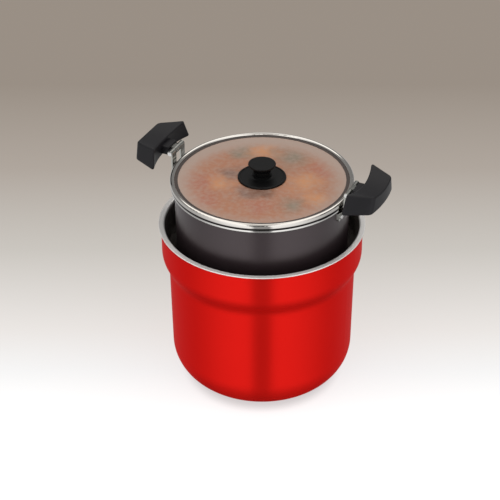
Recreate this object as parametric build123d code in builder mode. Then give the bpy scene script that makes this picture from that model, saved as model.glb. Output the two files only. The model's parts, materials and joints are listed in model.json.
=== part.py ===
from build123d import *
from math import asin, cos, sqrt
import os

os.makedirs("parts", exist_ok=True)

# Cooking pot
pot_height = 210.3
pot_outer_radius = 120.5
pot_sheet = 1.8
pot_rounding = 16.0
bead_overhang = 5.0
bead_height = 4.8
bead_inner_rounding = 1.6
base_core_margin = 4.5
base_core_thickness = 3.4
base_cover_sheet = 0.8

# Vessel, from the pot outwards
vessel_height = 250.0
well_clearance = 3.0
well_rounding = 46.0
neck_step = 12.5
neck_height = 39.0
liner_shoulder_height = 26.0
shell_sheet = 0.8
liner_sheet = 0.8
neck_vacuum_gap = 3.2
well_vacuum_gap = 6.0
floor_vacuum_gap = 8.4
collar_height = 41.0
shoulder_height = 32.0
shoulder_knee_share = 0.55
shell_taper = 2.6
base_rounding = 55.0
lip_overhang = 3.4
lip_thickness = 1.6
lip_depth = 4.7
lip_outer_rounding = 0.7
lip_inner_rounding = 2.5

# Pieces under the vessel and inside its vacuum
foot_height = 2.0
foot_margin = 1.5
foot_width = 10.0
foot_rounding = 0.8
base_opening_margin = 12.0
base_plate_lap = 10.0
base_plate_sheet = 1.0
base_cap_thickness = 1.8
base_cap_rounding = 0.6
base_cap_clearance = 0.2
port_radius = 3.0
seal_head_lap = 2.0
seal_head_thickness = 1.2
getter_radius = 6.0
getter_thickness = 3.0
getter_offset = 30.0
foil_thickness = 0.3
foil_edge_margin = 3.0

# How close the seated pot comes to the liner's rounding, and how far it is drawn out
seat_clearance = 0.92
drawn_out = 75.0

# Glass lid
band_overhang = 0.9
band_lip_width = 6.2
band_sheet = 0.9
band_crown = 2.0
band_roll_rounding = 2.0
band_hem_height = 7.2
band_hem_width = 2.6
band_step_wall = 1.0
skirt_clearance = 0.7
skirt_depth = 5.0
glass_thickness = 4.0
glass_rise = 1.5
gasket_thickness = 0.6
gasket_lip = 4.4
lid_clearance = 0.3
knob_hole_radius = 4.0

# Lid knob, bottom to top
knob_base_radius = 33.4
knob_base_rim = 2.8
knob_base_rim_width = 2.6
knob_base_dish_drop = 0.8
knob_boss_radius = 13.4
knob_base_height = 6.6
knob_height = 22.6
knob_radius = 19.0
knob_head_height = 7.2
knob_edge_height = 2.6
knob_head_foot_radius = 14.0
knob_neck_radius = 10.2
knob_collar_radius = 12.0
knob_collar_height = 2.2
knob_rounding = 1.2
knob_screw_radius = 2.5
knob_screw_head_radius = 5.2
knob_screw_head_height = 3.0
knob_screw_bite = 12.0
steel_washer_radius = 8.0
steel_washer_thickness = 1.2
seal_washer_radius = 10.0
seal_washer_thickness = 1.6

# Handle brackets on the pot wall
bracket_sheet = 2.0
bracket_half_width = 18.5
bracket_foot_stand = 2.1
bracket_foot_height = 10.5
bracket_foot_drop = 17.5
bracket_rise = 7.0
bracket_band_clearance = 2.3
bracket_bend = 3.0
bracket_corner = 3.0
window_half_width = 6.5
window_margin = 2.0
rivet_radius = 2.25
rivet_head_radius = 4.0
rivet_head_height = 1.9
rivet_level_share = 0.48
rivet_offset = 10.5
head_rounding_share = 0.48

# Handle hinges
hinge_offset = 1.8
hinge_rise = 12.4
hinge_pin_radius = 2.0
knuckle_radius = 3.8
pin_head_radius = 2.9
pin_head_thickness = 1.0
running_clearance = 0.05
hinge_clearance = 0.3
cradle_clearance = 0.4

# Hinge leaves inside the grips
leaf_sheet = 2.0
leaf_plate_inset = 1.7
leaf_plate_length = 23.8
leaf_plate_half_width = 15.7
leaf_corner = 2.5
pocket_clearance = 0.2

# Grips
grip_reach = 16.5
grip_depth = 31.0
grip_tip_half_span = 57.5
grip_heel_half_span = 39.0
grip_end_lean = 8.0
grip_hinge_drop = 9.0
grip_height = 21.5
grip_tip_rise = 7.5
grip_heel_rounding = 9.0
grip_edge_rounding = 2.2
nose_lap = 5.5
nose_drop = 6.0
nose_cover_start = 5.5
nose_cover = 2.0
grip_screw_offset = 9.0
grip_screw_radius = 2.0
grip_screw_hole_radius = 2.2
grip_screw_head_radius = 4.0
grip_screw_head_height = 2.4
insert_radius = 3.2
insert_length = 5.0

# Drawing aids
overrun = 1.0
handle_turns = {"right": 0, "left": 180}

# Radii about the common axis
pot_inner_radius = pot_outer_radius - pot_sheet
bead_outer_radius = pot_outer_radius + bead_overhang
base_core_radius = pot_outer_radius - pot_rounding - base_core_margin
well_radius = pot_outer_radius + well_clearance
neck_radius = well_radius + neck_step
collar_outer_radius = neck_radius + liner_sheet + neck_vacuum_gap + shell_sheet
body_outer_radius = well_radius + liner_sheet + well_vacuum_gap + shell_sheet
base_outer_radius = body_outer_radius - shell_taper
lip_outer_radius = collar_outer_radius + lip_overhang
foot_outer_radius = base_outer_radius - base_rounding - foot_margin
foot_inner_radius = foot_outer_radius - foot_width
base_opening_radius = foot_inner_radius - base_opening_margin
band_outer_radius = bead_outer_radius + band_overhang
band_inner_radius = band_outer_radius - band_lip_width
band_step_radius = band_outer_radius - band_hem_width
glass_radius = band_step_radius - band_step_wall - gasket_thickness
skirt_radius = pot_inner_radius - skirt_clearance
bracket_foot_radius = pot_outer_radius + bracket_foot_stand
leg_inner_radius = band_outer_radius + bracket_band_clearance
bracket_leg_radius = leg_inner_radius + bracket_sheet
hinge_radius = bracket_leg_radius + hinge_offset
grip_inner_radius = hinge_radius + grip_reach
grip_outer_radius = grip_inner_radius + grip_depth

# Levels above the surface that the vessel stands on
lip_underside = vessel_height - lip_thickness
lip_root = vessel_height - lip_depth
liner_collar_seam = vessel_height - neck_height
shell_collar_seam = vessel_height - collar_height
shell_base_seam = foot_height + base_rounding
shell_floor = foot_height + shell_sheet
liner_underside = shell_floor + floor_vacuum_gap
liner_floor = liner_underside + liner_sheet
liner_base_seam = liner_floor + well_rounding
seat_run = (pot_outer_radius - pot_rounding) - (well_radius - well_rounding)
seat_reach = well_rounding - pot_rounding - seat_clearance
seat_drop = sqrt(seat_reach**2 - seat_run**2)
seated_body_level = liner_floor + well_rounding - seat_drop - pot_rounding
pot_body_level = seated_body_level + drawn_out
pot_level = pot_body_level - base_core_thickness - base_cover_sheet
bead_top = pot_level + pot_height
bead_underside = bead_top - bead_height
band_underside = bead_top + lid_clearance
glass_underside = band_underside + band_sheet + gasket_thickness
glass_edge_top = glass_underside + glass_thickness
band_ceiling = glass_edge_top + gasket_thickness
band_edge_top = band_ceiling + band_sheet
band_top = band_edge_top + band_crown
knob_seat = glass_edge_top + glass_rise
foot_plate_level = bead_underside - bracket_foot_drop
hinge_height = band_top + hinge_rise
grip_underside = hinge_height - grip_hinge_drop


def export_piece(piece, name):
    """Label one finished piece and write it under its name."""
    piece.part.label = name
    export_step(piece.part, f"parts/{name}.step")


def export_both_sides(piece, name):
    """Write a handle piece twice, turned to each side of the pot."""
    for side, turn in handle_turns.items():
        with BuildPart() as placed:
            add(piece.part, rotation=(0, 0, turn))
        export_piece(placed, f"{name}_{side}")


def vessel_section(top, neck, neck_foot, well_top, well, well_foot, floor, rounding):
    """Half section of the space inside one wall surface, from the axis outwards."""
    knee = (
        neck + (well - neck) * shoulder_knee_share,
        neck_foot + (well_top - neck_foot) * shoulder_knee_share,
    )
    with BuildSketch(Plane.XZ) as section:
        with BuildLine():
            collar = Line((neck, top), (neck, neck_foot))
            upper_bend = TangentArc(collar @ 1, knee, tangent=collar % 1)
            lower_bend = TangentArc(knee, (well, well_top), tangent=upper_bend % 1)
            wall = Line(lower_bend @ 1, (well_foot, floor))
            Polyline(wall @ 1, (0, floor), (0, top), collar @ 0)
        make_face()
        fillet(section.vertices().group_by(Axis.Y)[0].sort_by(Axis.X)[-1], rounding)
    return section.sketch


def shell_section(inset, top):
    """Half section of the outer shell's surface, set in by the sheet where asked."""
    return vessel_section(
        top,
        collar_outer_radius - inset,
        shell_collar_seam,
        shell_collar_seam - shoulder_height,
        body_outer_radius - inset,
        base_outer_radius - inset,
        foot_height + inset,
        base_rounding - inset,
    )


def liner_section(inset, top):
    """Half section of the liner's inner surface, grown by the sheet where asked."""
    return vessel_section(
        top,
        neck_radius + inset,
        liner_collar_seam,
        liner_collar_seam - liner_shoulder_height,
        well_radius + inset,
        well_radius + inset,
        liner_floor - inset,
        well_rounding + inset,
    )


def pot_section(inset, top):
    """Half section of the pot body, set in by the sheet where asked."""
    with BuildSketch(Plane.XZ) as section:
        with BuildLine():
            Polyline(
                (0, pot_body_level + inset),
                (pot_outer_radius - inset, pot_body_level + inset),
                (pot_outer_radius - inset, top),
                (0, top),
                close=True,
            )
        make_face()
        corner = section.vertices().group_by(Axis.Y)[0].sort_by(Axis.X)[-1]
        fillet(corner, pot_rounding - inset)
    return section.sketch


def disc(radius, low, high):
    """Upright round solid on the common axis, between two levels."""
    with BuildPart() as blank:
        with BuildSketch(Plane.XY.offset(low)):
            Circle(radius)
        extrude(amount=high - low)
    return blank.part


def tube_ring(outer, inner, low, high):
    """Upright ring on the common axis, between two levels."""
    with BuildPart() as blank:
        with BuildSketch(Plane.XY.offset(low)):
            Circle(outer)
            Circle(inner, mode=Mode.SUBTRACT)
        extrude(amount=high - low)
    return blank.part


def export_courses(wall, courses):
    """Write a wall as the rings that it is welded from, each between two levels."""
    for name, (low, high) in courses.items():
        with BuildPart() as course:
            add(wall.part)
            add(disc(lip_outer_radius, low, high), mode=Mode.INTERSECT)
        export_piece(course, name)


# Outer shell, painted: a base pressing, a wall with its shoulder, and a collar
with BuildPart() as outer_shell:
    revolve(shell_section(0, vessel_height), axis=Axis.Z)
    revolve(shell_section(shell_sheet, vessel_height + overrun), axis=Axis.Z, mode=Mode.SUBTRACT)
    add(disc(base_opening_radius, 0, shell_floor + overrun), mode=Mode.SUBTRACT)
export_courses(
    outer_shell,
    {
        "shell_base": (foot_height, shell_base_seam),
        "shell_wall": (shell_base_seam, shell_collar_seam),
        "shell_collar": (shell_collar_seam, lip_underside),
    },
)

# Inner liner that the pot stands in, welded from the same three rings
with BuildPart() as inner_liner:
    revolve(liner_section(liner_sheet, vessel_height), axis=Axis.Z)
    revolve(liner_section(0, vessel_height + overrun), axis=Axis.Z, mode=Mode.SUBTRACT)
export_courses(
    inner_liner,
    {
        "liner_base": (liner_underside, liner_base_seam),
        "liner_wall": (liner_base_seam, liner_collar_seam),
        "liner_collar": (liner_collar_seam, lip_root),
    },
)

# Rolled lip that joins shell and liner and closes the vacuum
shell_neck_radius = collar_outer_radius - shell_sheet
with BuildPart() as rim_ring:
    with BuildSketch(Plane.XZ) as lip_face:
        with BuildLine():
            Polyline(
                (neck_radius, lip_root),
                (shell_neck_radius, lip_root),
                (shell_neck_radius, lip_underside),
                (lip_outer_radius, lip_underside),
                (lip_outer_radius, vessel_height),
                (neck_radius, vessel_height),
                close=True,
            )
        make_face()
        fillet(lip_face.vertices().group_by(Axis.X)[-1], lip_outer_rounding)
        fillet(lip_face.vertices().group_by(Axis.Y)[-1].sort_by(Axis.X)[0], lip_inner_rounding)
    revolve(axis=Axis.Z)
export_piece(rim_ring, "rim_ring")

# Base plate welded over the opening in the shell floor
with BuildPart() as base_plate:
    add(disc(base_opening_radius + base_plate_lap, shell_floor, shell_floor + base_plate_sheet))
    add(disc(port_radius, foot_height, shell_floor + base_plate_sheet + overrun), mode=Mode.SUBTRACT)
export_piece(base_plate, "base_plate")

# Plug that seals the port the air was drawn out of
with BuildPart() as evacuation_seal:
    add(disc(port_radius, shell_floor, shell_floor + base_plate_sheet))
    add(
        disc(
            port_radius + seal_head_lap,
            shell_floor + base_plate_sheet,
            shell_floor + base_plate_sheet + seal_head_thickness,
        )
    )
export_piece(evacuation_seal, "evacuation_seal")

# Plastic cap under the base plate
with BuildPart() as base_cap:
    add(
        disc(
            base_opening_radius - base_cap_clearance,
            shell_floor - base_cap_thickness,
            shell_floor,
        )
    )
    fillet(base_cap.edges().group_by(Axis.Z)[0], base_cap_rounding)
export_piece(base_cap, "base_cap")

# Rubber ring that the vessel stands on
with BuildPart() as foot_ring:
    add(tube_ring(foot_outer_radius, foot_inner_radius, 0, foot_height))
    fillet(foot_ring.edges().group_by(Axis.Z)[0], foot_rounding)
export_piece(foot_ring, "foot_ring")

# Getter pellet under the liner, inside the vacuum
with BuildPart() as getter:
    with BuildSketch(Plane.XY.offset(liner_underside - getter_thickness)):
        with Locations((getter_offset, 0)):
            Circle(getter_radius)
    extrude(amount=getter_thickness)
export_piece(getter, "getter")

# Foil round the liner that holds radiated heat back
foil_inner_radius = well_radius + liner_sheet
foil_low = liner_base_seam + foil_edge_margin
foil_high = liner_collar_seam - liner_shoulder_height - foil_edge_margin
with BuildPart() as radiation_foil:
    add(tube_ring(foil_inner_radius + foil_thickness, foil_inner_radius, foil_low, foil_high))
export_piece(radiation_foil, "radiation_foil")

# Rivet places, shared by the pot wall, the brackets and the rivets
rivet_height = foot_plate_level + bracket_foot_height * rivet_level_share


def rivet_rods(radius, start, end):
    """Two rods along the handle's axis at the rivet places of the right side."""
    with BuildPart() as rods:
        with BuildSketch(Plane.YZ.offset(start)):
            with Locations((rivet_offset, rivet_height), (-rivet_offset, rivet_height)):
                Circle(radius)
        extrude(amount=end - start)
    return rods.part


# Pot body, coated outside and inside
with BuildPart() as pot_body:
    revolve(pot_section(0, bead_underside), axis=Axis.Z)
    revolve(pot_section(pot_sheet, bead_top), axis=Axis.Z, mode=Mode.SUBTRACT)
    for turn in handle_turns.values():
        holes = rivet_rods(rivet_radius, pot_inner_radius - pot_sheet, pot_outer_radius + overrun)
        add(holes, rotation=(0, 0, turn), mode=Mode.SUBTRACT)
export_piece(pot_body, "pot_body")

# Rolled rim bead along the top of the pot wall
with BuildPart() as pot_rim_bead:
    with BuildSketch(Plane.XZ) as bead_face:
        with BuildLine():
            bead_half = bead_height / 2
            bead_centre_radius = bead_outer_radius - bead_half
            under = Line((pot_inner_radius, bead_underside), (bead_centre_radius, bead_underside))
            outside = ThreePointArc(
                under @ 1,
                (bead_outer_radius, bead_underside + bead_half),
                (bead_centre_radius, bead_top),
            )
            Polyline(outside @ 1, (pot_inner_radius, bead_top), under @ 0)
        make_face()
        inner_edge = bead_face.vertices().group_by(Axis.X)[0].sort_by(Axis.Y)[-1]
        fillet(inner_edge, bead_inner_rounding)
    revolve(axis=Axis.Z)
export_piece(pot_rim_bead, "pot_rim_bead")

# Aluminium core under the pot that spreads the heat
with BuildPart() as pot_base_core:
    add(disc(base_core_radius, pot_level + base_cover_sheet, pot_body_level))
export_piece(pot_base_core, "pot_base_core")

# Steel cover that caps the core
with BuildPart() as pot_base_cover:
    add(disc(base_core_radius + base_cover_sheet, pot_level, pot_body_level))
    add(
        disc(base_core_radius, pot_level + base_cover_sheet, pot_body_level + overrun),
        mode=Mode.SUBTRACT,
    )
    fillet(pot_base_cover.edges().group_by(Axis.Z)[0], base_cover_sheet / 2)
export_piece(pot_base_cover, "pot_base_cover")

# Lid band: a rolled steel channel with a seat on the bead and a skirt inside the pot
hem_level = band_top - band_hem_height
with BuildPart() as lid_band:
    with BuildSketch(Plane.XZ) as band_face:
        with BuildLine():
            crown = ThreePointArc(
                (band_inner_radius, band_edge_top),
                ((band_inner_radius + band_outer_radius) / 2, band_top),
                (band_outer_radius, band_edge_top),
            )
            Polyline(
                crown @ 1,
                (band_outer_radius, hem_level),
                (band_step_radius, hem_level),
                (band_step_radius, band_underside),
                (skirt_radius, band_underside),
                (skirt_radius, band_underside - skirt_depth),
                (skirt_radius - band_sheet, band_underside - skirt_depth),
                (skirt_radius - band_sheet, band_underside + band_sheet),
                (glass_radius + gasket_thickness, band_underside + band_sheet),
                (glass_radius + gasket_thickness, band_ceiling),
                (band_inner_radius, band_ceiling),
                crown @ 0,
            )
        make_face()
        roll = band_face.vertices().group_by(Axis.Y)[-1].sort_by(Axis.X)[-1]
        fillet(roll, min(band_roll_rounding, band_hem_height / 2))
    revolve(axis=Axis.Z)
export_piece(lid_band, "lid_band")

# Glass of the lid, slightly domed
dome_radius = (glass_radius**2 + glass_rise**2) / (2 * glass_rise)


def glass_top(radius):
    """Level of the glass's upper face at one distance from the axis."""
    return knob_seat - dome_radius + sqrt(dome_radius**2 - radius**2)


with BuildPart() as lid_glass:
    with BuildSketch(Plane.XZ):
        with BuildLine():
            mid_radius = glass_radius / 2
            upper = ThreePointArc(
                (0, knob_seat),
                (mid_radius, glass_top(mid_radius)),
                (glass_radius, glass_edge_top),
            )
            edge = Line(upper @ 1, (glass_radius, glass_underside))
            lower = ThreePointArc(
                edge @ 1,
                (mid_radius, glass_top(mid_radius) - glass_thickness),
                (0, knob_seat - glass_thickness),
            )
            Line(lower @ 1, upper @ 0)
        make_face()
    revolve(axis=Axis.Z)
    add(
        disc(knob_hole_radius, glass_underside - overrun, knob_seat + overrun),
        mode=Mode.SUBTRACT,
    )
export_piece(lid_glass, "lid_glass")

# Gasket that wraps the edge of the glass, with a lip that shows inside the band
with BuildPart() as lid_gasket:
    add(
        tube_ring(
            glass_radius + gasket_thickness,
            band_inner_radius - gasket_lip,
            glass_underside - gasket_thickness,
            band_ceiling,
        )
    )
    add(lid_glass.part, mode=Mode.SUBTRACT)
export_piece(lid_gasket, "lid_gasket")

# Round heat guard under the knob, dished with a raised rim
guard_rim_top = knob_seat + knob_base_rim
guard_floor = guard_rim_top - knob_base_dish_drop
guard_top = knob_seat + knob_base_height
with BuildPart() as knob_base:
    with BuildSketch(Plane.XZ) as guard_face:
        with BuildLine():
            Polyline(
                (0, knob_seat),
                (knob_base_radius, knob_seat),
                (knob_base_radius, guard_rim_top),
                (knob_base_radius - knob_base_rim_width, guard_rim_top),
                (knob_base_radius - knob_base_rim_width - knob_base_dish_drop, guard_floor),
                (knob_boss_radius + knob_base_rim_width, guard_floor + knob_base_dish_drop),
                (knob_boss_radius, guard_rim_top + knob_base_dish_drop),
                (knob_boss_radius, guard_top),
                (0, guard_top),
                close=True,
            )
        make_face()
        rim_corners = guard_face.vertices().group_by(Axis.X)[-1]
        fillet(rim_corners.sort_by(Axis.Y)[-1], knob_base_rim / 2)
    revolve(axis=Axis.Z)
    add(disc(knob_screw_radius, knob_seat - overrun, guard_top + overrun), mode=Mode.SUBTRACT)
    add(lid_glass.part, mode=Mode.SUBTRACT)
export_piece(knob_base, "knob_base")

# Knob with its neck, collar and flat head
knob_top = knob_seat + knob_height
head_underside = knob_top - knob_head_height
collar_low = (guard_top + head_underside - knob_collar_height) / 2
with BuildPart() as knob:
    with BuildSketch(Plane.XZ) as knob_face:
        with BuildLine():
            Polyline(
                (0, guard_top),
                (knob_neck_radius, guard_top),
                (knob_neck_radius, collar_low),
                (knob_collar_radius, collar_low),
                (knob_collar_radius, collar_low + knob_collar_height),
                (knob_neck_radius, collar_low + knob_collar_height),
                (knob_neck_radius, head_underside),
                (knob_head_foot_radius, head_underside),
                (knob_radius, knob_top - knob_edge_height),
                (knob_radius, knob_top),
                (0, knob_top),
                close=True,
            )
        make_face()
        head_corners = knob_face.vertices().sort_by(Axis.X)[-2:]
        fillet(head_corners, knob_rounding)
    revolve(axis=Axis.Z)
    add(
        disc(knob_screw_radius, guard_top - overrun, guard_top + knob_screw_bite),
        mode=Mode.SUBTRACT,
    )
export_piece(knob, "knob")

# Soft washer, steel washer and screw that hold the knob from below the glass
glass_centre_underside = knob_seat - glass_thickness
seal_low = glass_centre_underside - seal_washer_thickness
washer_low = seal_low - steel_washer_thickness
with BuildPart() as knob_seal_washer:
    add(disc(seal_washer_radius, seal_low, glass_centre_underside))
    add(disc(knob_screw_radius, seal_low - overrun, knob_seat), mode=Mode.SUBTRACT)
    add(lid_glass.part, mode=Mode.SUBTRACT)
export_piece(knob_seal_washer, "knob_seal_washer")

with BuildPart() as knob_steel_washer:
    add(disc(steel_washer_radius, washer_low, seal_low))
    add(disc(knob_screw_radius, washer_low - overrun, seal_low + overrun), mode=Mode.SUBTRACT)
export_piece(knob_steel_washer, "knob_steel_washer")

with BuildPart() as knob_screw:
    add(disc(knob_screw_head_radius, washer_low - knob_screw_head_height, washer_low))
    fillet(knob_screw.edges().group_by(Axis.Z)[0], knob_screw_head_height / 2)
    add(disc(knob_screw_radius, washer_low, guard_top + knob_screw_bite))
export_piece(knob_screw, "knob_screw")


# Handle pieces, drawn on the right side of the pot
def hinge_cylinder(radius, half_length):
    """Round solid along the right hinge's axis, centred on the handle."""
    with BuildPart() as blank:
        with BuildSketch(Plane.XZ):
            with Locations((hinge_radius, hinge_height)):
                Circle(radius)
        extrude(amount=half_length, both=True)
    return blank.part


def handle_block(start, end, half_width, low, high):
    """Upright block across the handle's axis, between two radii and two levels."""
    with BuildPart() as blank:
        with BuildSketch(Plane.XY.offset(low)):
            with Locations(((start + end) / 2, 0)):
                Rectangle(end - start, half_width * 2)
        extrude(amount=high - low)
    return blank.part


# Steel bracket: foot on the pot wall, a joggle round the bead, two legs with knuckles
foot_top = foot_plate_level + bracket_foot_height
leg_start = foot_top + bracket_rise
foot_back_radius = pot_inner_radius * cos(asin(bracket_half_width / pot_outer_radius))
with BuildPart() as bracket:
    with BuildSketch(Plane.XZ) as bracket_face:
        with BuildLine():
            Polyline(
                (foot_back_radius, foot_plate_level),
                (bracket_foot_radius, foot_plate_level),
                (bracket_foot_radius, foot_top),
                (bracket_leg_radius, leg_start),
                (bracket_leg_radius, hinge_height),
                (leg_inner_radius, hinge_height),
                (leg_inner_radius, leg_start + bracket_sheet / 2),
                (bracket_foot_radius - bracket_sheet, foot_top + bracket_sheet / 2),
                (foot_back_radius, foot_top + bracket_sheet / 2),
                close=True,
            )
        make_face()
        bends = bracket_face.vertices().filter_by_position(
            Axis.Y, foot_top, leg_start + bracket_sheet
        )
        fillet(
            bends.filter_by_position(
                Axis.X, bracket_foot_radius - bracket_sheet, bracket_leg_radius
            ),
            bracket_bend,
        )
    extrude(amount=bracket_half_width, both=True)
    add(hinge_cylinder(knuckle_radius, bracket_half_width))
    add(
        handle_block(
            foot_back_radius,
            hinge_radius + knuckle_radius + overrun,
            window_half_width,
            foot_top + window_margin,
            hinge_height + knuckle_radius + overrun,
        ),
        mode=Mode.SUBTRACT,
    )
    add(disc(pot_outer_radius, foot_plate_level - overrun, hinge_height), mode=Mode.SUBTRACT)
    fillet(bracket.edges().filter_by(Axis.X).group_by(Axis.Z)[0], bracket_corner)
    add(hinge_cylinder(hinge_pin_radius, bracket_half_width + overrun), mode=Mode.SUBTRACT)
    rivet_holes = rivet_rods(rivet_radius, pot_inner_radius, bracket_foot_radius + overrun)
    add(rivet_holes, mode=Mode.SUBTRACT)
export_both_sides(bracket, "bracket")

# Rivets through the pot wall and the bracket foot
with BuildPart() as bracket_rivets:
    add(rivet_rods(rivet_head_radius, pot_inner_radius - rivet_head_height, pot_outer_radius))
    add(
        tube_ring(
            bracket_foot_radius + overrun,
            pot_inner_radius,
            foot_plate_level - overrun,
            foot_top + overrun,
        ),
        mode=Mode.SUBTRACT,
    )
    add(rivet_rods(rivet_radius, pot_inner_radius - rivet_head_height, bracket_foot_radius))
    add(
        rivet_rods(
            rivet_head_radius,
            bracket_foot_radius,
            bracket_foot_radius + rivet_head_height,
        )
    )
    fillet(bracket_rivets.edges().group_by(Axis.X)[-1], rivet_head_height * head_rounding_share)
export_both_sides(bracket_rivets, "bracket_rivets")

# Hinge pin with a peened head at each end
with BuildPart() as hinge_pin:
    add(hinge_cylinder(hinge_pin_radius, bracket_half_width))
    add(hinge_cylinder(pin_head_radius, bracket_half_width + pin_head_thickness))
    add(hinge_cylinder(pin_head_radius + overrun, bracket_half_width), mode=Mode.SUBTRACT)
    add(hinge_cylinder(hinge_pin_radius, bracket_half_width))
export_both_sides(hinge_pin, "hinge_pin")

# Hinge leaf: knuckle on the pin, tongue, and a plate under the grip's pocket ceiling
leaf_half_width = window_half_width - hinge_clearance
leaf_top = hinge_height + knuckle_radius
leaf_low = leaf_top - leaf_sheet
plate_start = grip_inner_radius + leaf_plate_inset
plate_end = plate_start + leaf_plate_length
screw_radius_place = (plate_start + plate_end) / 2


def screw_rods(radius, low, high):
    """Two upright rods at the grip screw places of the right side."""
    with BuildPart() as rods:
        with BuildSketch(Plane.XY.offset(low)):
            with Locations(
                (screw_radius_place, grip_screw_offset),
                (screw_radius_place, -grip_screw_offset),
            ):
                Circle(radius)
        extrude(amount=high - low)
    return rods.part


with BuildPart() as hinge_leaf:
    add(handle_block(plate_start, plate_end, leaf_plate_half_width, leaf_low, leaf_top))
    fillet(hinge_leaf.edges().filter_by(Axis.Z), leaf_corner)
    add(handle_block(hinge_radius, plate_start + leaf_corner, leaf_half_width, leaf_low, leaf_top))
    add(hinge_cylinder(knuckle_radius, leaf_half_width))
    add(
        hinge_cylinder(hinge_pin_radius + running_clearance, bracket_half_width),
        mode=Mode.SUBTRACT,
    )
    leaf_holes = screw_rods(grip_screw_hole_radius, leaf_low - overrun, leaf_top + overrun)
    add(leaf_holes, mode=Mode.SUBTRACT)
export_both_sides(hinge_leaf, "hinge_leaf")

# Moulded grip: a bow round the pot, saddled on top, its ends leaning in as they rise
tip_radius = sqrt(grip_inner_radius**2 - grip_tip_half_span**2)
heel_radius = sqrt(grip_outer_radius**2 - grip_heel_half_span**2)
end_run = heel_radius - tip_radius
end_drop = grip_tip_half_span - grip_heel_half_span
end_length = sqrt(end_run**2 + end_drop**2)
crest_height = grip_height + grip_tip_rise
saddle_half_span = grip_tip_half_span - grip_end_lean
saddle_radius = (saddle_half_span**2 + grip_tip_rise**2) / (2 * grip_tip_rise)
end_plane = Plane(
    origin=(
        (tip_radius + heel_radius) / 2,
        (grip_tip_half_span + grip_heel_half_span) / 2,
        grip_underside,
    ),
    x_dir=(end_run, -end_drop, 0),
    z_dir=(end_drop * crest_height, end_run * crest_height, end_length * grip_end_lean),
)
nose_start = bracket_leg_radius + hinge_clearance
nose_half_width = window_half_width + nose_lap


def upright_edges(bow):
    """The edges between the bow's top and underside, from the pot outwards."""
    between = bow.edges().filter_by_position(
        Axis.Z, grip_underside + overrun, grip_underside + grip_height - overrun
    )
    return between.sort_by(Axis.X)


with BuildPart() as grip:
    with BuildSketch(Plane.XY.offset(grip_underside)):
        Circle(grip_outer_radius)
        Circle(grip_inner_radius, mode=Mode.SUBTRACT)
        with Locations((grip_outer_radius, 0)):
            Rectangle(grip_outer_radius, grip_outer_radius * 2, mode=Mode.INTERSECT)
    extrude(amount=crest_height + overrun)
    split(bisect_by=end_plane, keep=Keep.BOTTOM)
    mirror(about=Plane.XZ, mode=Mode.INTERSECT)
    with BuildSketch(Plane.YZ):
        with Locations((0, grip_underside + grip_height + saddle_radius)):
            Circle(saddle_radius)
    extrude(amount=grip_outer_radius + overrun, mode=Mode.SUBTRACT)
    fillet(upright_edges(grip)[-2:], grip_heel_rounding)
    fillet(
        upright_edges(grip)[:2]
        + grip.faces().sort_by(Axis.Z)[-1].edges()
        + grip.faces().sort_by(Axis.Z)[0].edges(),
        grip_edge_rounding,
    )
    add(
        handle_block(
            nose_start,
            grip_inner_radius + grip_edge_rounding,
            nose_half_width,
            hinge_height - nose_drop,
            leaf_low,
        )
    )
    add(
        handle_block(
            hinge_radius + nose_cover_start,
            grip_inner_radius + grip_edge_rounding,
            nose_half_width,
            leaf_low,
            leaf_top + nose_cover,
        )
    )
    add(
        hinge_cylinder(knuckle_radius + cradle_clearance, nose_half_width + overrun),
        mode=Mode.SUBTRACT,
    )
    add(
        handle_block(
            plate_start - pocket_clearance,
            plate_end + pocket_clearance,
            leaf_plate_half_width + pocket_clearance,
            grip_underside - overrun,
            leaf_top,
        ),
        mode=Mode.SUBTRACT,
    )
    add(
        handle_block(
            nose_start,
            plate_start,
            leaf_half_width + pocket_clearance,
            leaf_low,
            leaf_top,
        ),
        mode=Mode.SUBTRACT,
    )
    add(screw_rods(insert_radius, leaf_low, leaf_top + insert_length), mode=Mode.SUBTRACT)
export_both_sides(grip, "grip")

# Brass inserts moulded into the grip above the leaf
with BuildPart() as grip_inserts:
    add(screw_rods(insert_radius, leaf_top, leaf_top + insert_length))
    insert_bores = screw_rods(
        grip_screw_radius, leaf_top - overrun, leaf_top + insert_length + overrun
    )
    add(insert_bores, mode=Mode.SUBTRACT)
export_both_sides(grip_inserts, "grip_inserts")

# Screws that clamp the leaf to the grip from below
with BuildPart() as grip_screws:
    add(screw_rods(grip_screw_head_radius, leaf_low - grip_screw_head_height, leaf_low))
    fillet(grip_screws.edges().group_by(Axis.Z)[0], grip_screw_head_height * head_rounding_share)
    add(screw_rods(grip_screw_radius, leaf_low, leaf_top + insert_length))
export_both_sides(grip_screws, "grip_screws")
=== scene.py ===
import json
from math import cos, pi, radians, sin

import bpy
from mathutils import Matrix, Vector

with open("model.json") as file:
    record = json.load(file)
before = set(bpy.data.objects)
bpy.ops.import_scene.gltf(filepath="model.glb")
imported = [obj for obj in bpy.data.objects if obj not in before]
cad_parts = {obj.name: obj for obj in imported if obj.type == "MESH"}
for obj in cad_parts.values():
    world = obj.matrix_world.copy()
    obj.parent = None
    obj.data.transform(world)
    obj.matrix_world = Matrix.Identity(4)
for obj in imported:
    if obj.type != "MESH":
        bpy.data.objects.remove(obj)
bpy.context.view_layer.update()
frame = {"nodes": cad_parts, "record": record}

# A millimetre in metres, the unit of every length here that isn't said to be in millimetres
mm = 0.001

# Camera: angles in degrees, the lens in millimetres
view_azimuth = 25.0
view_elevation = 33.14
view_distance = 2.242
view_target = Vector((0, 0, 0.2006))
view_lens = 114.2
view_shift = -0.024
view_reach = 50

# Floor: its half width, the radii between which the body's painted shadow fades, and its light
floor_reach = 40.0
painted_shadow_edges = (0.094, 0.120)
painted_shadow_level = 0.70
floor_glow = 0.800
floor_albedo = 0.21
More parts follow.
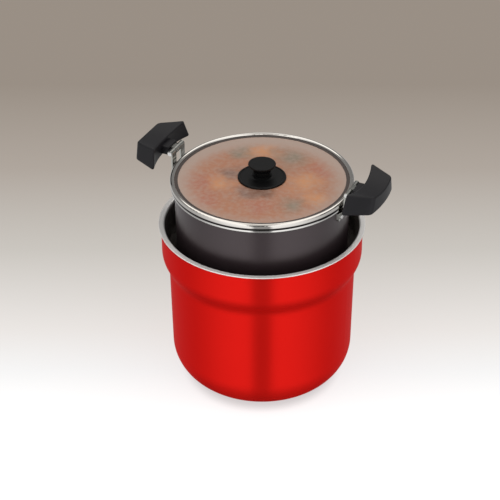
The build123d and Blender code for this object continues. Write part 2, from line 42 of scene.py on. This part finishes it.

# The floor darkens away from the camera, a painted fall-off of light: distances behind the axis, then
# tones by share
floor_painted_falloff = (-0.12, 0.90)
painted_falloff_tones = (
    (0.0, (1.10, 1.10, 1.10)),
    (0.10, (0.940, 0.940, 0.940)),
    (0.20, (0.840, 0.811, 0.787)),
    (0.42, (0.600, 0.572, 0.533)),
    (0.68, (0.432, 0.384, 0.341)),
    (1.0, (0.322, 0.277, 0.237)),
)

# Light round the object: the turn from the front in degrees, and the level
low_ring = ((0, 0.37), (9, 0.37), (14, 1.25), (45, 1.05), (90, 0.55), (180, 0.55))
high_ring = ((0, 0.10), (10, 0.10), (14, 1.40), (50, 1.10), (80, 0.30), (180, 0.24))
half_turn = 180.0

# Light from above: how far a direction lies to either side, and the tone there
overhead_tones = (
    (0.0, (0.60, 0.585, 0.57)),
    (0.10, (0.66, 0.645, 0.63)),
    (0.28, (1.46, 1.44, 1.41)),
    (0.50, (1.40, 1.38, 1.35)),
    (0.85, (0.55, 0.54, 0.53)),
)
rear_panel = (1.60, 1.56, 1.50)
underneath = (0.12, 0.12, 0.12)

# Where one light gives way to the next, as parts of a unit direction up or towards the front
ring_edges = (-0.15, 0.10)
overhead_edges = (0.60, 0.68)
rear_edges = (-0.34, -0.46)
underneath_edges = (-0.62, -0.88)

# Painted shade in the groove between pot and lid: levels above the bead's top, in millimetres, dark
# to clear
bead_painted_shade = (-0.4, -1.1)
band_painted_shade = (2.9, 4.1)

# Fineness of the noise in a finish
plain_detail = 2.0
fine_detail = 3.0
mottle_detail = 4.0

# What shows through the steam on the glass
broth = (0.470, 0.182, 0.084)
haze = (0.485, 0.360, 0.295)
carrot = (0.70, 0.300, 0.110)
tomato = (0.455, 0.136, 0.070)
leaf = (0.220, 0.205, 0.145)
shade = (0.175, 0.092, 0.066)

# A tone, its place on the glass and its reach, in millimetres
patches = (
    (tomato, -74, -50, 34),
    (carrot, -46, -37, 24),
    (tomato, -44, -84, 26),
    (leaf, -56, 52, 24),
    (carrot, -28, 70, 26),
    (leaf, 14, 70, 34),
    (tomato, 66, 50, 28),
    (carrot, 60, 12, 30),
    (leaf, 66, -50, 24),
    (shade, 14, -34, 26),
    (tomato, 30, -70, 26),
    (shade, -44, -8, 18),
    (shade, -5, -50, 20),
    (carrot, 90, -20, 22),
)


def along_view(distance, height=0.0, side=0.0):
    """A point at a distance from the axis towards the camera, at a height and to a side."""
    angle = radians(view_azimuth)
    towards = Vector((sin(angle), -cos(angle), 0))
    across = Vector((cos(angle), sin(angle), 0))
    return towards * distance + across * side + Vector((0, 0, height))


def scaled(color, share):
    return [channel * share for channel in color]


class Nodes:
    """A node tree with short calls for the nodes that a finish or a sky is made of."""

    def __init__(self, tree, coordinates):
        self.tree = tree
        self.place = tree.nodes.new("ShaderNodeTexCoord").outputs[coordinates]

    def fill(self, socket, value):
        """Link a socket, or set it."""
        if isinstance(value, bpy.types.NodeSocket):
            self.tree.links.new(value, socket)
        else:
            socket.default_value = value

    def node(self, kind, values=(), **settings):
        """A new node with its settings, its inputs given in order as values or links."""
        made = self.tree.nodes.new("ShaderNode" + kind)
        for key, value in settings.items():
            setattr(made, key, value)
        for socket, value in zip(made.inputs, values):
            if value is not None:
                self.fill(socket, value)
        return made

    def math(self, operation, first, second=None):
        return self.node("Math", (first, second), operation=operation).outputs[0]

    def vector(self, operation, first, second):
        return self.node("VectorMath", (first, second), operation=operation).outputs[0]

    def noise(self, place, scale, detail=fine_detail, output="Fac"):
        made = self.node("TexNoise", (place,))
        made.inputs["Scale"].default_value = scale
        made.inputs["Detail"].default_value = detail
        return made.outputs[output]

    def polar(self):
        """Distance from the Z axis, angle about it in radians, and height."""
        x, y, height = self.node("SeparateXYZ", (self.place,)).outputs
        square = self.math("ADD", self.math("POWER", x, 2.0), self.math("POWER", y, 2.0))
        return self.math("SQRT", square), self.math("ARCTAN2", y, x), height

    def turned(self, across, along):
        """Coordinates of lathe lines: fine across them, drawn out along them."""
        radius, angle, height = self.polar()
        values = (
            self.math("MULTIPLY", radius, across),
            self.math("MULTIPLY", angle, along),
            self.math("MULTIPLY", height, across),
        )
        return self.node("CombineXYZ", values).outputs[0]

    def ramp(self, factor, stops):
        """Tones by a share, each stop a share and a tone."""
        made = self.node("ValToRGB", (factor,))
        elements = made.color_ramp.elements
        while len(elements) < len(stops):
            elements.new(1.0)
        for element, (place, color) in zip(elements, stops):
            element.position = place
            element.color = (*color, 1.0)
        return made.outputs["Color"]

    def mix(self, factor, first, second, blend="MIX"):
        """A mix of two colours, each a link or three numbers."""
        made = self.node("Mix", (factor,), data_type="RGBA", blend_type=blend)
        for socket, value in zip((made.inputs[6], made.inputs[7]), (first, second)):
            linked = isinstance(value, bpy.types.NodeSocket)
            self.fill(socket, value if linked else (*value, 1.0))
        return made.outputs[2]

    def along(self, vector, direction):
        """How far a point or direction lies along a fixed direction."""
        made = self.node("VectorMath", (vector, direction), operation="DOT_PRODUCT")
        return made.outputs["Value"]

    def span(self, factor, low, high, edges=(0.0, 1.0), smooth=False):
        """The factor's stretch between two edges mapped to a range, and clamped to it."""
        kind = "SMOOTHSTEP" if smooth else "LINEAR"
        return self.node("MapRange", (factor, *edges, low, high), interpolation_type=kind).outputs[0]

    def step(self, factor, edges):
        """A soft step from 0 to 1 between two edges."""
        return self.span(factor, 0.0, 1.0, edges, smooth=True)


class Finish(Nodes):
    """One material: a Principled shader and the nodes that drive it."""

    def __init__(self, name, color, roughness, metallic=0.0, **sockets):
        self.material = bpy.data.materials.new(name)
        self.material.use_nodes = True
        super().__init__(self.material.node_tree, "Object")
        self.shader = self.tree.nodes["Principled BSDF"]
        self.shader.inputs["Base Color"].default_value = (*color, 1.0)
        self.shader.inputs["Roughness"].default_value = roughness
        self.shader.inputs["Metallic"].default_value = metallic
        for socket, value in sockets.items():
            self.shader.inputs[socket.replace("_", " ")].default_value = value

    def drive(self, socket, link):
        self.tree.links.new(link, self.shader.inputs[socket])

    def bump(self, height, depth):
        """Relief of a depth in millimetres."""
        made = self.node("Bump")
        made.inputs["Distance"].default_value = depth * mm
        self.tree.links.new(height, made.inputs["Height"])
        self.drive("Normal", made.outputs[0])

    def draw_round(self):
        """Stretch reflections across the lathe lines that run round the axis."""
        tangent = self.node("Tangent", direction_type="RADIAL", axis="Z")
        self.drive("Tangent", tangent.outputs[0])


def brushed_steel(name, color, roughness, spread, depth=0.01, drawn=0.0, metallic=1.0, painted_shade=None):
    """Steel with fine lathe lines, their depth in millimetres.

    The optional painted shade gives the height where the steel turns dark and the height where it is
    clear.
    """
    line_density = 1600.0
    line_length = 2.0
    cloud_scale = 22.0
    dull_share = 0.86
    painted_shade_share = 0.05
    steel = Finish(name, color, roughness, metallic, Anisotropic=drawn, Anisotropic_Rotation=0.25)
    steel.draw_round()
    lines = steel.noise(steel.turned(line_density, line_length), 1.0)
    cloud = steel.noise(steel.place, cloud_scale)
    tone = steel.mix(cloud, scaled(color, dull_share), color)
    # Painted shade: the steel's colour darkens towards the groove between pot and lid, standing in
    # for the shade there
    if painted_shade:
        clear = steel.span(steel.polar()[2], 0.0, 1.0, painted_shade)
        tone = steel.mix(clear, scaled(color, painted_shade_share), tone)
    steel.drive("Base Color", tone)
    steel.drive("Roughness", steel.span(lines, roughness - spread, roughness + spread))
    steel.bump(lines, depth)
    return steel.material


def grained_black(name, color, roughness, shine=0.32):
    """Moulded black resin with a fine grain and slight hand polish."""
    grain_scale = 900.0
    grain_depth = 0.05
    cloud_scale = 30.0
    light_share = 1.7
    polish = 0.06
    wear = 0.08
    resin = Finish(name, color, roughness, Specular_IOR_Level=shine)
    cloud = resin.noise(resin.place, cloud_scale)
    resin.drive("Base Color", resin.mix(cloud, color, scaled(color, light_share)))
    resin.drive("Roughness", resin.span(cloud, roughness - polish, roughness + wear))
    resin.bump(resin.noise(resin.place, grain_scale), grain_depth)
    return resin.material


def red_enamel():
    """Clear red enamel over steel brushed round the body, so that lights draw out upwards."""
    cloud_scale = 14.0
    flake_scale = 2600.0
    flake_share = 0.5
    brush_density = 2200.0
    brush_length = 3.0
    brush_depth = 0.002
    dark_red = (0.77, 0.010, 0.0075)
    light_red = (0.83, 0.012, 0.0085)
    flake_red = (0.90, 0.018, 0.012)
    paint = Finish(
        "red_enamel",
        (0.80, 0.011, 0.008),
        roughness=0.36,
        metallic=0.62,
        Anisotropic=0.85,
        Anisotropic_Rotation=0.25,
        Specular_IOR_Level=0.1,
        Specular_Tint=(1.0, 0.08, 0.06, 1.0),
    )
    paint.draw_round()
    cloud = paint.noise(paint.place, cloud_scale)
    flakes = paint.noise(paint.place, flake_scale, plain_detail)
    brushing = paint.noise(paint.turned(brush_density, brush_length), 1.0, plain_detail)
    tone = paint.mix(cloud, dark_red, light_red)
    paint.drive("Base Color", paint.mix(paint.math("MULTIPLY", flakes, flake_share), tone, flake_red))
    paint.drive("Roughness", paint.span(cloud, 0.33, 0.39))
    paint.bump(brushing, brush_depth)
    return paint.material


def pot_coating():
    """Black satin non-stick coating with a fine fleck and a clear gloss."""
    fleck_scale = 1900.0
    fleck_edges = (0.62, 0.74)
    fleck_depth = 0.006
    cloud_scale = 18.0
    dark_tone = (0.018, 0.0115, 0.0130)
    light_tone = (0.026, 0.0175, 0.0195)
    fleck_tone = (0.035, 0.032, 0.034)
    coat = Finish(
        "pot_coating",
        (0.020, 0.016, 0.017),
        roughness=0.32,
        Specular_IOR_Level=0.75,
        Specular_Tint=(1.0, 0.87, 0.90, 1.0),
    )
    fleck = coat.noise(coat.place, fleck_scale, plain_detail)
    cloud = coat.noise(coat.place, cloud_scale)
    tone = coat.mix(cloud, dark_tone, light_tone)
    coat.drive("Base Color", coat.mix(coat.span(fleck, 0.0, 1.0, fleck_edges), tone, fleck_tone))
    coat.drive("Roughness", coat.span(cloud, 0.29, 0.36))
    coat.bump(fleck, fleck_depth)
    return coat.material


def steamed_glass():
    """Glass steamed on its underside: hazy at the border, warm blurred patches inside; the steam haze
    reaches further in at the back, a painted reflection.
    """
    drift_scale = 34.0
    drift_reach = 0.045
    patch_share = 0.82
    patch_blur = 1.25
    mottle_scale = 150.0
    mottle_edges = (0.42, 0.72)
    mottle_share = 0.42
    border_wave = 0.008
    border_edges = (0.086, 0.121)
    border_shares = (0.10, 0.95)
    painted_reflection_share = 0.12
    middle_grey = (0.5, 0.5, 0.5)
    glass = Finish("steamed_glass", haze, 0.35, Coat_Weight=1.0, Coat_Roughness=0.03, Alpha=0.94)
    noise = glass.noise(glass.place, drift_scale, output="Color")
    drift = glass.vector("SUBTRACT", noise, middle_grey)
    wander = glass.vector("MULTIPLY", drift, (drift_reach, drift_reach, 0.0))
    flat = glass.vector("MULTIPLY", glass.vector("ADD", glass.place, wander), (1.0, 1.0, 0.0))
    tone = broth
    for patch_tone, x, y, reach in patches:
        away = glass.node("VectorMath", (flat, (x * mm, y * mm, 0.0)), operation="DISTANCE")
        blur = (0.0, patch_blur * reach * mm)
        near = glass.span(away.outputs["Value"], patch_share, 0.0, blur, smooth=True)
        tone = glass.mix(near, tone, patch_tone)
    mottle = glass.noise(glass.place, mottle_scale, mottle_detail)
    tone = glass.mix(glass.span(mottle, 0.0, mottle_share, mottle_edges), tone, haze)
    uneven = glass.math("ADD", glass.polar()[0], glass.math("MULTIPLY", mottle, border_wave))
    # Painted reflection: the steam haze at the border reaches further in on the side away from the
    # camera
    reflection_shift = glass.math("MULTIPLY", glass.along(glass.place, along_view(1.0)), painted_reflection_share)
    edge = glass.math("SUBTRACT", uneven, reflection_shift)
    haze_and_reflection = glass.span(edge, *border_shares, border_edges, smooth=True)
    glass.drive("Base Color", glass.mix(haze_and_reflection, tone, haze))
    return glass.material


def plain_metal(name, color, roughness, metallic=1.0):
    """Metal with its own clouding and a faint grain."""
    cloud_scale = 60.0
    dull_share = 0.8
    polish = 0.05
    wear = 0.08
    grain_scale = 700.0
    grain_depth = 0.01
    metal = Finish(name, color, roughness, metallic)
    cloud = metal.noise(metal.place, cloud_scale)
    metal.drive("Base Color", metal.mix(cloud, scaled(color, dull_share), color))
    metal.drive("Roughness", metal.span(cloud, roughness - polish, roughness + wear))
    metal.bump(metal.noise(metal.place, grain_scale, plain_detail), grain_depth)
    return metal.material


def soft_rubber(name, color):
    """Matte rubber or silicone with a faint bloom."""
    cloud_scale = 50.0
    bloom_share = 1.5
    grain_scale = 500.0
    grain_depth = 0.03
    rubber = Finish(name, color, roughness=0.6)
    cloud = rubber.noise(rubber.place, cloud_scale)
    rubber.drive("Base Color", rubber.mix(cloud, color, scaled(color, bloom_share)))
    rubber.drive("Roughness", rubber.span(cloud, 0.55, 0.7))
    rubber.bump(rubber.noise(rubber.place, grain_scale, plain_detail), grain_depth)
    return rubber.material


def polished_steel(name, color, painted_shade):
    """Mirror-like steel beside the groove, with painted shade towards it between levels given from
    the bead's top.
    """
    roughness = 0.08
    spread = 0.02
    line_depth = 0.001
    bead = frame["nodes"]["pot_rim_bead"]
    bead_top = max(corner[2] for corner in bead.bound_box)
    heights = [bead_top + level * mm for level in painted_shade]
    return brushed_steel(name, color, roughness, spread, line_depth, painted_shade=heights)


def dress(finishes):
    """Give each node the finish of its slot in the record."""
    for entry in frame["record"]["subparts"]:
        materials = frame["nodes"][entry["node"]].data.materials
        materials.clear()
        materials.append(finishes[entry["material_slot"]])


def floor_material():
    """Pale floor lit from within, so that it stays clean beside the red body, with a painted fall-off
    of light away from the camera and a painted shadow round the body's foot.
    """
    pale = Finish("floor", (0.8, 0.8, 0.8), 0.9, Specular_IOR_Level=0.0, Emission_Strength=floor_glow)
    depth = pale.along(pale.place, -along_view(1.0))
    # Painted fall-off of light: the floor's tone darkens away from the camera
    painted_falloff = pale.ramp(pale.span(depth, 0.0, 1.0, floor_painted_falloff), painted_falloff_tones)
    # Painted shadow: the floor darkens in a ring round the body's foot
    painted_shadow = pale.span(pale.polar()[0], painted_shadow_level, 1.0, painted_shadow_edges, smooth=True)
    tone = pale.mix(1.0, painted_falloff, painted_shadow, blend="MULTIPLY")
    pale.drive("Emission Color", tone)
    pale.drive("Base Color", pale.mix(1.0, tone, (floor_albedo,) * 3, blend="MULTIPLY"))
    return pale.material


def add_floor():
    """A plain floor that lights nothing and shows in no reflection."""
    bpy.ops.mesh.primitive_plane_add(size=2 * floor_reach, location=(0, 0, 0))
    floor = bpy.context.object
    floor.name = "floor"
    floor.data.materials.append(floor_material())
    floor.visible_diffuse = False
    floor.visible_glossy = False
    floor.visible_shadow = False


def studio():
    """Soft light from all round: two tall softboxes in front, panels above and behind."""
    world = bpy.data.worlds.new("studio")
    world.use_nodes = True
    sky = Nodes(world.node_tree, "Generated")
    ahead = sky.along(sky.place, along_view(1.0))
    across = sky.along(sky.place, along_view(0.0, side=1.0))
    height = sky.along(sky.place, (0.0, 0.0, 1.0))
    turn = sky.math("ABSOLUTE", sky.math("ARCTAN2", across, ahead))
    share = sky.math("DIVIDE", turn, pi)
    rings = []
    for stops in (low_ring, high_ring):
        rings.append(sky.ramp(share, [(angle / half_turn, (level,) * 3) for angle, level in stops]))
    ring = sky.mix(sky.step(height, ring_edges), *rings)
    overhead = sky.ramp(sky.math("ABSOLUTE", across), overhead_tones)
    upper = sky.mix(sky.step(ahead, rear_edges), overhead, rear_panel)
    topped = sky.mix(sky.step(height, overhead_edges), ring, upper)
    light = sky.mix(sky.step(height, underneath_edges), topped, underneath)
    world.node_tree.links.new(light, world.node_tree.nodes["Background"].inputs["Color"])
    return world


def add_camera():
    """The photograph's viewpoint, with a long lens."""
    camera_data = bpy.data.cameras.new("camera")
    camera_data.lens = view_lens
    camera_data.shift_x = view_shift
    camera_data.clip_end = view_reach
    camera = bpy.data.objects.new("camera", camera_data)
    bpy.context.scene.collection.objects.link(camera)
    elevation = radians(view_elevation)
    away = along_view(view_distance * cos(elevation), view_distance * sin(elevation))
    camera.location = view_target + away
    camera.rotation_euler = (-away).to_track_quat("-Z", "Y").to_euler()
    bpy.context.scene.camera = camera


dress({
    "red_paint": red_enamel(),
    "liner_steel": brushed_steel("liner_steel", (0.66, 0.64, 0.61), 0.30, 0.08),
    "lip_steel": brushed_steel("lip_steel", (0.97, 0.95, 0.93), 0.34, 0.04, drawn=0.4, metallic=0.45),
    "copper_foil": plain_metal("copper_foil", (0.80, 0.45, 0.32), 0.18),
    "getter_metal": plain_metal("getter_metal", (0.30, 0.29, 0.28), 0.6),
    "base_steel": brushed_steel("base_steel", (0.60, 0.59, 0.58), 0.35, 0.06),
    "seal_glass": plain_metal("seal_glass", (0.16, 0.20, 0.18), 0.15, metallic=0.0),
    "cap_plastic": grained_black("cap_plastic", (0.02, 0.02, 0.02), 0.5),
    "foot_rubber": soft_rubber("foot_rubber", (0.02, 0.02, 0.02)),
    "pot_coating": pot_coating(),
    "bead_steel": polished_steel("bead_steel", (0.74, 0.72, 0.70), bead_painted_shade),
    "core_aluminium": plain_metal("core_aluminium", (0.70, 0.70, 0.71), 0.45),
    "cover_steel": brushed_steel("cover_steel", (0.62, 0.61, 0.60), 0.28, 0.06),
    "bracket_steel": plain_metal("bracket_steel", (0.45, 0.45, 0.42), 0.20),
    "pin_steel": plain_metal("pin_steel", (0.78, 0.77, 0.76), 0.22),
    "screw_steel": plain_metal("screw_steel", (0.68, 0.68, 0.69), 0.28),
    "insert_brass": plain_metal("insert_brass", (0.72, 0.52, 0.24), 0.35),
    "grip_resin": grained_black("grip_resin", (0.008, 0.0075, 0.009), 0.44, shine=0.25),
    "lid_glass": steamed_glass(),
    "band_steel": polished_steel("band_steel", (0.74, 0.71, 0.67), band_painted_shade),
    "gasket_silicone": soft_rubber("gasket_silicone", (0.045, 0.034, 0.030)),
    "knob_resin": grained_black("knob_resin", (0.003, 0.003, 0.0032), 0.42, shine=0.17),
})
add_floor()
bpy.context.scene.world = studio()
add_camera()
bpy.context.scene.view_settings.view_transform = "Standard"
